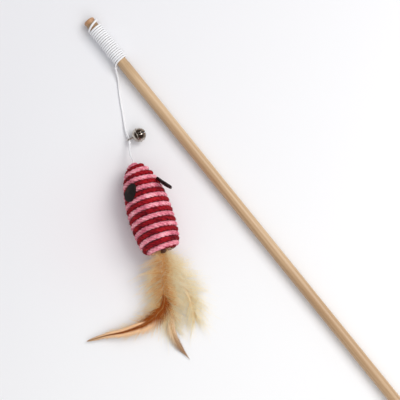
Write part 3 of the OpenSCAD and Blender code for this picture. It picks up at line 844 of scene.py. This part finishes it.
def ropeLine(mouse, rope, phase):
    # places and outward directions along one rope, in the mouse's own frame
    line = meridianLine(mouse, rope)
    total = line[-1][0]
    thick, start, bend = rope["radius"], rope["start"], rope["bend"] * rope["radius"]
    lead = 2 * (2 * thick + rope["gap"])
    xs, rs = [(w, x) for w, x, r in line], [(w, r) for w, x, r in line]
    places = []

    # out of the nose and round into the first turn
    a = math.radians(phase)
    side, back = around(0, 1, a + math.pi / 2), Vector((-1, 0, 0))
    x = line[0][1]
    for deep in (bend + 2 * thick, bend + thick):
        places.append((around(x + deep, start, a), back))
    for degrees in range(0, 90, 15):
        b = math.radians(degrees)
        p = around(x + bend * (1 - math.sin(b)), start, a) + side * bend * (1 - math.cos(b))
        places.append((p, back))

    # the turns
    first = phase + math.degrees(math.atan2(bend, start))
    w = 0.0
    while w <= total:
        angle = first + 360 * w / lead
        a = math.radians(angle)
        mean, sideways, upward = rope["slant"]
        share = min(1.0, w / rope["slantRun"], (total - w) / rope["slantRun"])
        v = w + share * (mean + sideways * math.cos(a) + upward * math.sin(a))
        v = min(max(v, 0.0), total)
        x, r = lookUp(v, xs), lookUp(v, rs)
        before, after = max(0, v - mm), min(total, v + mm)
        normal = Vector((lookUp(before, rs) - lookUp(after, rs), lookUp(after, xs) - lookUp(before, xs)))
        normal.normalize()
        if normal.y < 0 and x < noseA:
            normal = -normal
        outward = around(normal.x, normal.y, a)
        # soft rope wanders a little, and both ropes wander together
        wander = rope["wander"] * noise.noise(Vector((angle / 75, w * 300, 1.7)))
        swell = rope["swell"] * noise.noise(Vector((angle / 50, w * 500, phase)))
        tuck = rope["tuck"] * max(0, 1 - (total - w) / lead * 4) ** 2
        places.append((around(x + wander, r - tuck, a) + outward * swell, outward))
        w += rope["step"] * lead / max(lead, math.tau * max(r, 2 * mm))

    # and into the tail
    a = math.radians(first + 360 * total / lead)
    side, back = around(0, 1, a + math.pi / 2), Vector((1, 0, 0))
    x, r = line[-1][1], line[-1][2] - rope["tuck"]
    for degrees in range(15, 105, 15):
        b = math.radians(degrees)
        p = around(x - bend * (1 - math.cos(b)), r, a) + side * bend * math.sin(b)
        places.append((p, back))
    places.append((around(x - bend - 2 * thick, r, a) + side * bend, back))
    return places


def ropeFinish(name, light, middle, dark):
    finish = Finish(name, Roughness=0.85, Specular_IOR_Level=0.1, Sheen_Weight=0.06)
    fibre = finish.grain(finish.place((150, 7, 1), "UV"))
    speck = finish.grain(finish.place(), scale=900.0, detail=4.0, rough=0.65)
    broad = finish.grain(finish.place(), scale=130.0, detail=2.0)
    tone = fibre * 0.36 + speck * 0.32 + broad * 0.32
    colour = finish.ramp(tone, [(0.4, dark), (0.5, middle), (0.61, light)])
    return finish.paint(colour, height=fibre * 0.6 + speck * 0.4, depth=0.2 * mm, strength=0.6)


def addRope(rope, name, node, phase, material, seed):
    # three strands laid round each other
    places = ropeLine(mouseSizes, rope, phase)
    middles = [middle for middle, outward in places]
    strands = [[] for k in range(rope["strands"])]
    run = 0.0
    for i, (middle, outward) in enumerate(places):
        run += (middle - middles[max(i - 1, 0)]).length
        along = heading(middles, i)
        out = (outward - along * outward.dot(along)).normalized()
        across = along.cross(out)
        for k, strand in enumerate(strands):
            a = math.tau * (run / rope["lay"] + k / rope["strands"])
            p = mousePlace @ (middle + rope["strandOut"] * (math.cos(a) * out + math.sin(a) * across))
            soft = 1 + rope["soft"] * noise.noise(Vector((run * 190, k * 9.1, seed)))
            radius = rope["strandRadius"] * soft
            p.z = max(p.z, floorLevel + radius * 0.75)
            strand.append((p, radius))
    strandPiece(strands, 8, name, "mouse", material, [node])
    addFibres(fibreSizes, name + "Fibres", places, material, seed)


# stray fibres that stand off the ropes
fibreSizes = {
    "count": 1500,
    "root": 1.62 * mm,
    "long": (0.4, 1.3),  # in mm
    "lean": 0.9,  # how much more they stand out than lie down
    "bow": 0.35,
    "radii": (0.035 * mm, 0.028 * mm, 0.012 * mm),
    "clear": 0.3 * mm,
}


def addFibres(sizes, name, places, material, seed):
    rng = random.Random(seed)
    hairs = []
    for n in range(sizes["count"]):
        middle, outward = rng.choice(places)
        spread = Vector([rng.uniform(-1, 1) for c in range(3)]).normalized()
        way = (outward * sizes["lean"] + spread).normalized()
        root = middle + (outward + spread * 0.55).normalized() * sizes["root"]
        long = rng.uniform(*sizes["long"]) * mm
        bent = spread.cross(way) * sizes["bow"] * long
        line = (root, root + way * long * 0.55 + bent, root + way * long * 0.8 + bent * 2.6)
        line = [mousePlace @ p for p in line]
        if min(p.z for p in line) > floorLevel + sizes["clear"]:
            hairs.append(list(zip(line, sizes["radii"])))
    strandPiece(hairs, 4, name, "mouse", material, caps=False)


pinkRope = ropeFinish("pinkRope", linear(255, 196, 204), linear(232, 140, 156), linear(188, 84, 108))
redRope = ropeFinish("redRope", linear(182, 26, 34), linear(136, 12, 26), linear(78, 4, 16))
addRope(ropeSizes, "ropePink", "rope_pink", ropeSizes["phase"], pinkRope, 3)
addRope(ropeSizes, "ropeRed", "rope_red", ropeSizes["phase"] + 180, redRope, 5)


# what the ropes hide, and the glue at the tail
def coreFinish():
    finish = Finish("packedCore", Roughness=0.9)
    fine, coarse = finish.grain(finish.place(), scale=900.0), finish.grain(finish.place(), scale=600.0)
    return finish.paint(finish.mix(coarse, linear(120, 40, 60), linear(168, 92, 112)), height=fine,
                        depth=0.2 * mm, strength=0.4)


plugGlue = glueFinish("brownGlue", linear(104, 62, 40), linear(62, 34, 24))
dressNode("mouse_core", coreFinish())
dressNode("tail_plug", plugGlue)
dressNode("nose_tie", cordWhite)
dressNode("anchor_knot", cordWhite)
glueDab = {"place": (65.6 * mm, 0.4 * mm, 2.6 * mm), "size": (1.7 * mm, 2.0 * mm, 1.9 * mm), "lump": 0.3}


def addGlueDab(sizes):
    # dried brown glue where the quills leave the tail
    bm = bmesh.new()
    bmesh.ops.create_icosphere(bm, subdivisions=4, radius=1)
    for v in bm.verts:
        v.co *= 1 + sizes["lump"] * noise.noise(v.co * 1.7)
        v.co = Vector(c * half for c, half in zip(v.co, sizes["size"])) + Vector(sizes["place"])
    bmesh.ops.transform(bm, matrix=mousePlace, verts=bm.verts)
    bmesh.ops.recalc_face_normals(bm, faces=bm.faces)
    finishPiece(bm, "glueDab", "mouse", plugGlue)


addGlueDab(glueDab)


# leather ears
print("ears")
earSizes = {
    "length": 13 * mm,
    "width": 10 * mm,
    "thick": 1.2 * mm,
    "wallShare": 0.9,
    "bend": 30 * mm,
    "gap": 0.3 * mm,  # between an ear and the ropes
    "sink": 0.1 * mm,
    "crumple": 0.12 * mm,
    "edge": 0.28 * mm,
    "leftShare": 0.34,
    "leftRoll": 38,
    "leftTurn": 38,
    "rightShare": 0.253,
    "rightHeight": 39,
    "rightTurn": 37,
}


def leatherFinish():
    finish = Finish("darkLeather", Specular_IOR_Level=0.35)
    place = finish.place()
    cells = finish.flow("ShaderNodeTexVoronoi", "Distance", {"feature": "DISTANCE_TO_EDGE"},
                        {"Vector": place, "Scale": 1500.0})
    grain = finish.grain(place, scale=700.0, detail=4.0)
    wear = finish.grain(place, scale=240.0, detail=2.0).between(0.5, 0.75)
    colour = finish.mix(grain, linear(16, 10, 9), linear(36, 23, 18))
    colour = finish.mix(wear * 0.4, colour, linear(74, 50, 40))
    return finish.paint(colour, roughness=0.46 + grain * 0.25, strength=0.6,
                        height=cells.between(0.0, 0.25) * 0.7 + grain * 0.3)


leather = leatherFinish()


def bodyRadius(x):
    # the outside of the ropes, at a distance from the nose
    r, power = mouseSizes["radius"], mouseSizes["tailPower"]
    if x < noseA:
        return r * math.sqrt(max(0, 1 - ((noseA - x) / noseA) ** 2))
    return r * max(0, 1 - ((x - noseA) / (tailA + ropeSizes["radius"])) ** power) ** (1 / power)


def addEar(sizes, name, node, place, seed):
    bm = bmesh.new()
    bmesh.ops.create_grid(bm, x_segments=22, y_segments=18, size=1)
    long, wide, bend = sizes["length"], sizes["width"], sizes["bend"] + sizes["thick"]
    for v in bm.verts:
        # the square grid is drawn into a leaf, then cupped
        a = math.pi * (1 - (v.co.x * 0.995 + 1) / 2)
        x = long * (1 + math.cos(a)) / 2
        half = wide / 2 * max(0.02, math.sin(a)) ** 0.8 * (0.86 + 0.14 * math.cos(a))
        y = half * v.co.y * (1 + 0.05 * noise.noise(Vector((a * 2, v.co.y, seed))))
        dome = math.sqrt(max(0, bend ** 2 - (x - long / 2) ** 2 - y ** 2)) - sizes["bend"]
        crumple = sizes["crumple"] * noise.noise(Vector((x * 300, y * 300, seed)))
        v.co = (x, y, dome - sizes["sink"] + crumple)
    bmesh.ops.recalc_face_normals(bm, faces=bm.faces)
    piece = bpy.data.objects.new(name, meshFrom(bm, name))
    wall = piece.modifiers.new("leather", "SOLIDIFY")
    wall.thickness, wall.offset = sizes["thick"] * sizes["wallShare"], -1
    edge = piece.modifiers.new("edge", "BEVEL")
    edge.width, edge.segments = sizes["edge"], 3
    edge.limit_method, edge.angle_limit = "ANGLE", math.radians(40)
    mesh = settle(piece)
    mesh.transform(place)
    finishPiece(mesh, name, "mouse", leather, [node])


def addEars(sizes):
    # the left ear lies on the ropes, the right one stands on edge
    x, near = sizes["leftShare"] * mouseSizes["length"], ropeSizes["radius"]
    slope = math.atan((bodyRadius(x + near) - bodyRadius(x - near)) / (2 * near))
    lift = sizes["gap"] + sizes["length"] ** 2 / (8 * sizes["bend"])
    place = (mousePlace @ Matrix.Translation((x, 0, 0)) @ turned(sizes["leftRoll"], "X")
             @ Matrix.Translation((0, 0, bodyRadius(x))) @ Matrix.Rotation(-slope, 4, "Y")
             @ turned(-sizes["leftTurn"], "Z") @ Matrix.Translation((-sizes["length"] / 2, 0, lift)))
    addEar(sizes, "earLeft", "ear_left", place, 1.0)
    x = sizes["rightShare"] * mouseSizes["length"]
    out = bodyRadius(x) + sizes["thick"] + sizes["gap"]
    place = (mousePlace @ Matrix.Translation(around(x, out, math.radians(sizes["rightHeight"])))
             @ turned(sizes["rightTurn"], "Z") @ turned(90, "X"))
    addEar(sizes, "earRight", "ear_right", place, 2.0)


addEars(earSizes)


# feathers
print("feathers")
featherSizes = {
    "rootX": 48.6 * mm,
    "socket": 4.8 * mm,
    "rows": [0.69, 0.23, -0.23, -0.69],  # where the four quills lie in the socket
    "lies": [0.55, 0.38, 0.21, 0.08],  # how high they lie behind the mouse
    "down": 22 * mm,
    "steps": 7,
    "tufts": 430,
    "tuftReach": (0.66, 1.12),
    "drift": 0.1,  # neighbours differ together by this share
    "leanSpread": 0.2,
    "liftSpread": 12,
    "curl": (0.3, 1.3),
    "unbend": 0.45,  # how far a barb turns towards the tip on its way out
    "wave": 0.22,
    "waveFine": 150,
    "perTuft": 3,
    "barb": 0.06 * mm,
    "barbReach": (0.6, 1.0),
    "barbTaper": 0.8,
    "spread": 1.1,  # in mm, how far a tuft's barbs stand apart
    "bow": 0.6,
    "barbule": 0.028 * mm,
    "barbuleGap": 1.8 * mm,
    "barbuleReach": (0.8, 2.0),  # in mm
    "barbuleTip": 0.3,
    "wisps": 190,
    "wisp": 0.08 * mm,
    "wispReach": (0.95, 1.2),
    "under": 0.07 * mm,
    "vaneStep": 0.12 * mm,
    "vaneBarb": 0.13 * mm,
    "vaneReach": (0.78, 1.14),
    "vaneLean": (0.95, 1.05),
    "vaneUnbend": 0.35,
    "vaneDroop": (0.03, 0.18),  # at the quill, and more towards the edge
    "vaneTaper": 0.9,
    "vaneParts": 5,
}
# how far the middle of a quill, of soft barbs and of barb tips stays above the table
clearSizes = {"quill": 0.8 * mm, "guide": 0.5 * mm, "barb": 0.35 * mm, "tip": 0.3 * mm}

# along the mouse and across it in mm, and the share of the way down to where the feather lies
featherRoutes = {
    "hackleLong": [
        (0, 0, 0), (6.5, 0, 0), (13.5, 0, 0.02), (21.5, -1, 0.2), (28.5, -3, 0.45), (36.5, -5.5, 0.72),
        (43.5, -7.5, 0.88), (49.5, -8.2, 0.95), (52.8, -9.8, 0.97), (56.2, -15.2, 0.99), (59, -21.8, 1),
        (60.8, -28.6, 1.02), (61.2, -41, 1.1), (59.8, -53, 1.24), (59.4, -66.4, 1.38)],
    "hackleShort": [
        (0, 0, 0), (6.5, 0, 0), (13.5, 0.2, 0.02), (22, 1, 0.2), (32, 1, 0.55), (42, -1.5, 0.88),
        (50, -4, 1.07), (60, -6, 1.16), (69, -8.5, 1.18), (79, -8, 1.2), (93, -3.5, 1.24)],
    "plumeRight": [
        (0, 0, 0), (6.5, 0, 0), (13.5, 0.3, 0.02), (22, 2.5, 0.25), (32, 5.5, 0.62), (43, 8, 0.9),
        (53, 9, 0.98), (64, 8.5, 1)],
    "plumeLow": [
        (0, 0, 0), (6.5, 0, 0), (13.5, -0.3, 0.02), (22, -2, 0.3), (32, -4.5, 0.68), (43, -7.2, 0.92),
        (53, -8.6, 1), (64, -8, 1)],
}

# every list gives a share of the feather's length and the value there: fluff and vane are lengths of barbs
# as a share of the down, lean and lift are in degrees, and sides is one side over the other
hackleLong = {
    "row": 0, "length": 113 * mm, "node": "hackle_long", "slot": "brown_feather", "seed": 11,
    "quill": 0.5 * mm, "quillTip": 0.15 * mm,
    "fluff": [(0.135, 0.4), (0.17, 0.66), (0.22, 0.94), (0.32, 1.08), (0.4, 1.08), (0.46, 0.9),
              (0.53, 0.66), (0.62, 0.52), (0.75, 0.36), (0.88, 0.16)],
    "fluffSides": [(0.135, 1), (0.4, 1), (0.46, 1.3), (0.55, 1.3), (0.65, 1), (0.88, 1)],
    "fluffLean": [(0.135, 100), (0.17, 84), (0.25, 72), (0.4, 66), (0.5, 70), (0.6, 56), (0.88, 32)],
    "fluffLift": [(0.135, 4), (0.4, 3), (0.48, -14), (0.88, -20)],
    "vane": [(0.41, 0.12), (0.445, 0.36), (0.5, 0.46), (0.56, 0.42), (0.64, 0.35), (0.76, 0.3),
             (0.88, 0.23), (0.95, 0.16), (1, 0.05)],
    "vaneLean": [(0.41, 40), (0.5, 44), (0.58, 40), (0.75, 30), (0.88, 22), (1, 16)],
    "vaneSides": [(0.41, 0.7), (0.46, 0.75), (0.52, 1.3), (0.6, 1.34), (0.75, 1.1), (1, 1)],
}
hackleShort = {
    "row": 1, "length": 95 * mm, "node": "hackle_short", "slot": "brown_feather", "seed": 12,
    "quill": 0.4 * mm, "quillTip": 0.08 * mm,
    "fluff": [(0.2, 0.3), (0.25, 0.5), (0.36, 0.8), (0.5, 0.75), (0.6, 0.5), (0.72, 0.25)],
    "fluffSides": [(0, 1), (1, 1)],
    "fluffLean": [(0.2, 80), (0.4, 58), (0.72, 32)],
    "fluffLift": [(0.2, 4), (0.5, 2), (0.72, -12)],
    "vane": [(0.56, 0.05), (0.62, 0.24), (0.72, 0.3), (0.82, 0.27), (0.9, 0.15), (0.96, 0.06),
             (1, 0.015)],
    "vaneLean": [(0.56, 34), (0.82, 32), (1, 18)],
    "vaneSides": [(0.56, 0.7), (1, 0.8)],
}
plumeRight = {
    "row": 2, "length": 66 * mm, "node": "plume_right", "slot": "cream_feather", "seed": 13,
    "quill": 0.32 * mm, "quillTip": 0.1 * mm,
    "fluff": [(0.26, 0.2), (0.33, 0.42), (0.46, 0.72), (0.6, 0.88), (0.8, 0.92), (0.92, 0.94),
              (1, 0.86)],
    "fluffSides": [(0, 1), (1, 1)],
    "fluffLean": [(0.26, 84), (0.5, 70), (0.8, 50), (1, 16)],
    "fluffLift": [(0.26, 4), (1, 4)],
}
plumeLow = dict(plumeRight, row=3, node="plume_low", seed=14)

# upright planes along the straight part of the long quill and along the long vane: x, y and offset
quillPlane = (-0.3616, -0.9323, 0.1452)
vanePlane = (-0.938, 0.346, 0.1614)


def barbFinish(name, root, middle, tip, rough=0.8, paintedLightSide=0.0):
    # each barb runs from its root colour to its tip colour, with painted light making one side of the quill
    # lighter and the other deeper
    finish = Finish(name, Roughness=rough, Specular_IOR_Level=0.06)
    broad = finish.grain(finish.place(), scale=110.0, detail=2.0)
    streak = finish.grain(finish.place(), scale=480.0, detail=2.0)
    out = finish.axis(finish.place(kind="UV"), "X")
    # painted light: one side of the quill is painted lighter, the other deeper
    side = finish.beside(quillPlane).between(-3 * mm, 4 * mm)
    tone = out * 0.8 + (broad - 0.5) * 0.5 + (streak - 0.5) * 0.8 + 0.1 + (side - 0.5) * paintedLightSide
    colour = finish.ramp(tone, [(0.1, root), (0.4, middle), (0.75, tip)])
    return finish.paint(colour, height=streak, depth=0.03 * mm, strength=0.3)


def vaneFinish(name, root, streak, edge, far, axis, near, end, darkFrom, late=0.0):
    # edges and tip grow paler or duller from near to end, places along one axis;
    # on the side towards the mouse the pale edge starts late
    finish = Finish(name, Roughness=0.65, Specular_IOR_Level=0.08)
    fine = finish.grain(finish.place(), scale=700.0)
    out = finish.axis(finish.place(kind="UV"), "X")
    along = (finish.axis(finish.place(), axis) - near) * (1 / (end - near))
    start = along - (1 - finish.beside(vanePlane).between(-3 * mm, mm)) * late
    pale = (out + along * 0.24).between(0.2, 0.62) * start.between(-0.02, 0.2)
    colour = finish.mix(pale, finish.mix(fine, root, streak), edge)
    colour = finish.mix(along.between(darkFrom, 1.0) * 0.8, colour, far)
    return finish.paint(colour, height=fine, depth=0.03 * mm, strength=0.3)


creamDown = barbFinish("creamDown", linear(246, 218, 170), linear(255, 242, 204), linear(253, 243, 220))
# the tan down carries painted light, lighter on one side of the quill
tanDown = barbFinish("tanDown", linear(220, 162, 96), linear(246, 208, 146), linear(252, 238, 204),
                     paintedLightSide=0.36)
quillBrown = barbFinish("quillBrown", linear(206, 160, 110), linear(176, 124, 76), linear(92, 54, 28),
                        rough=0.5)
quillCream = barbFinish("quillCream", linear(226, 196, 150), linear(240, 214, 172),
                        linear(246, 228, 194), rough=0.5)
longVane = vaneFinish("longVane", linear(122, 54, 12), linear(164, 86, 28), linear(252, 212, 168),
                      linear(182, 146, 114), axis="Y", near=0.092, end=0.141, darkFrom=0.56, late=0.36)
shortVane = vaneFinish("shortVane", linear(178, 136, 96), linear(206, 168, 124), linear(246, 218, 184),
                       linear(136, 94, 62), axis="X", near=0.2, end=0.179, darkFrom=0.1)


def above(p, clear):
    # keeps a place off the table
    p.z = max(p.z, floorLevel + clear)
    return p


def scattered(rng, spread):
    return Vector([rng.gauss(0, spread) for c in range(3)])


def quillLine(sizes, route, feather):
    # the route at the feather's real length, with evenly spaced points
    k = feather["length"] / pathLength([Vector((a, b, 0)) for a, b, c in route])
    low = floorLevel + sizes["lies"][feather["row"]] * mouseSizes["radius"]
    points = []
    for a, b, c in route:
        rowZ = sizes["rows"][feather["row"]] * sizes["socket"]
        p = mousePlace @ Vector((sizes["rootX"] + k * a, k * b, rowZ))
        p.z += (low - p.z) * c
        points.append(above(p, clearSizes["quill"]))
    return evenPath(smoothPath(points, 8), 400)


def quillPoint(line, u):
    # place, direction and the way to the left at a share of the quill's length
    i = min(len(line) - 2, int(u * (len(line) - 1)))
    along = heading(line, i)
    return line[i], along, up.cross(along).normalized()


def growGuide(sizes, feather, line, rng, u, sign):
    # the middle line of one tuft of barbs
    start, along, side = quillPoint(line, u)
    drift = sizes["drift"] * noise.noise(Vector((u * 14, sign * 5.3, feather["seed"])))
    long = sizes["down"] * lookUp(u, feather["fluff"]) * (1 + drift)
    long *= rng.uniform(*sizes["tuftReach"])
    if sign > 0:
        long *= lookUp(u, feather["fluffSides"])
    lean = lookUp(u, feather["fluffLean"]) * (1 + drift + rng.gauss(0, sizes["leanSpread"]))
    lean = math.radians(lean)
    rise = lookUp(u, feather["fluffLift"])
    lift = math.radians(rise + rng.gauss(0, sizes["liftSpread"]))
    curl = rng.uniform(*sizes["curl"])
    # barbs that hang down start under the quill
    p, points = start + up * min(0, rise) * sizes["under"], []
    for k in range(sizes["steps"] + 1):
        t = k / sizes["steps"]
        a = lean * (1 - sizes["unbend"] * curl * t)
        way = math.cos(a) * along + math.sin(a) * sign * side + math.sin(lift * (1 - 1.1 * t)) * up
        wave = noise.noise_vector(p * sizes["waveFine"] + Vector((0, 0, feather["seed"])))
        way = way.normalized() + sizes["wave"] * wave
        points.append(p.copy())
        p = above(p + way * long / sizes["steps"], clearSizes["guide"])
    return points, along, long


def growBarb(sizes, guide, root, end, bow, reach):
    # one barb of a tuft, which leaves the guide and comes back to it
    points = []
    for k in range(sizes["steps"] + 1):
        t = k / sizes["steps"]
        place = t * reach
        j = min(sizes["steps"] - 1, int(place))
        p = guide[j].lerp(guide[j + 1], place - j)
        p = p + root * (1 - t) + end * t + bow * math.sin(math.pi * t)
        points.append((above(p, clearSizes["barb"]), sizes["barb"] * (1 - sizes["barbTaper"] * t)))
    return points


def growBarbules(sizes, barb, long, rng):
    # short side barbs, sparser towards the tip
    barbules = []
    count = int(long / sizes["barbuleGap"])
    for k in range(count):
        t = ((k + rng.random()) / count) ** 1.4
        j = min(sizes["steps"] - 1, int(t * sizes["steps"]))
        q = barb[j][0].lerp(barb[j + 1][0], t * sizes["steps"] - j)
        forward = (barb[j + 1][0] - barb[j][0]).normalized()
        spread = scattered(rng, 1)
        spread = (spread - forward * spread.dot(forward)).normalized()
        reach = rng.uniform(*sizes["barbuleReach"]) * mm * (1 - 0.6 * t)
        tip = above(q + (forward * 0.9 + spread).normalized() * reach, clearSizes["tip"])
        barbules.append([(q, sizes["barbule"]), (tip, sizes["barbule"] * sizes["barbuleTip"])])
    return barbules


def growDown(sizes, feather, line, rng):
    # tufts of long soft barbs that draw together at their tips, with short barbules
    barbs, barbules = [], []
    first, last = feather["fluff"][0][0], feather["fluff"][-1][0]
    for n in range(sizes["tufts"]):
        u = first + (last - first) * ((n + rng.random()) / sizes["tufts"]) ** 1.3
        guide, along, long = growGuide(sizes, feather, line, rng, u, 1 if n % 2 else -1)
        for m in range(sizes["perTuft"]):
            root = along * rng.uniform(-sizes["spread"], sizes["spread"]) * mm
            end, bow = scattered(rng, sizes["spread"]) * mm, scattered(rng, sizes["bow"]) * mm
            reach = rng.uniform(*sizes["barbReach"]) * sizes["steps"]
            barbs.append(growBarb(sizes, guide, root, end, bow, reach))
            barbules += growBarbules(sizes, barbs[-1], long, rng)
    # lone hairs that reach past the rest
    for n in range(sizes["wisps"]):
        u, sign = rng.uniform(first, last), rng.choice((-1, 1))
        guide, along, long = growGuide(sizes, feather, line, rng, u, sign)
        stretch = rng.uniform(*sizes["wispReach"])
        hair = [guide[0] + (p - guide[0]) * stretch for p in guide]
        if min(p.z for p in hair) > floorLevel + clearSizes["tip"]:
            barbs.append([(p, sizes["wisp"] * (1 - 0.08 * k)) for k, p in enumerate(hair)])
    return barbs + barbules


def growVane(sizes, feather, line, rng):
    # firm barbs that lie side by side
    barbs, parts = [], sizes["vaneParts"]
    near, further = sizes["vaneDroop"]
    first = feather["vane"][0][0]
    count = int(feather["length"] * (1 - first) / sizes["vaneStep"])
    for n in range(count):
        u = first + (1 - first) * n / count
        start, along, side = quillPoint(line, u)
        oneSide = lookUp(u, feather["vaneSides"])
        for sign, share in ((-1, 1 / oneSide), (1, oneSide)):
            long = sizes["down"] * lookUp(u, feather["vane"]) * share ** 0.6
            long *= rng.uniform(*sizes["vaneReach"])
            lean = math.radians(lookUp(u, feather["vaneLean"])) * rng.uniform(*sizes["vaneLean"])
            p, points = start.copy(), []
            for k in range(parts + 1):
                t = k / parts
                a = lean * (1 - sizes["vaneUnbend"] * t)
                way = math.cos(a) * along + math.sin(a) * sign * side - (near + further * t) * up
                points.append((p.copy(), sizes["vaneBarb"] * (1 - sizes["vaneTaper"] * t)))
                p = above(p + way.normalized() * long / parts, clearSizes["tip"])
            barbs.append(points)
    return barbs


def addFeather(sizes, name, feather, downMaterial, quillMaterial, vaneMaterial=None):
    rng = random.Random(feather["seed"])
    line = quillLine(sizes, featherRoutes[name], feather)
    taper = feather["quillTip"] - feather["quill"]
    quill = [(p, feather["quill"] + taper * (i * 20 / (len(line) - 1)) ** 0.7)
             for i, p in enumerate(line[::20])]
    parts = [("Quill", [quill], quillMaterial), ("Down", growDown(sizes, feather, line, rng), downMaterial)]
    if vaneMaterial:
        parts.append(("Vane", growVane(sizes, feather, line, rng), vaneMaterial))
    for part, strands, material in parts:
        whole = part == "Quill"  # barbs are too thin for end caps
        strandPiece(strands, 8 if whole else 4, name + part, "mouse", material,
                    [feather["node"]] if whole else (), caps=whole)


addFeather(featherSizes, "hackleLong", hackleLong, tanDown, quillBrown, longVane)
addFeather(featherSizes, "hackleShort", hackleShort, creamDown, quillCream, shortVane)
addFeather(featherSizes, "plumeRight", plumeRight, creamDown, quillCream)
addFeather(featherSizes, "plumeLow", plumeLow, creamDown, quillCream)
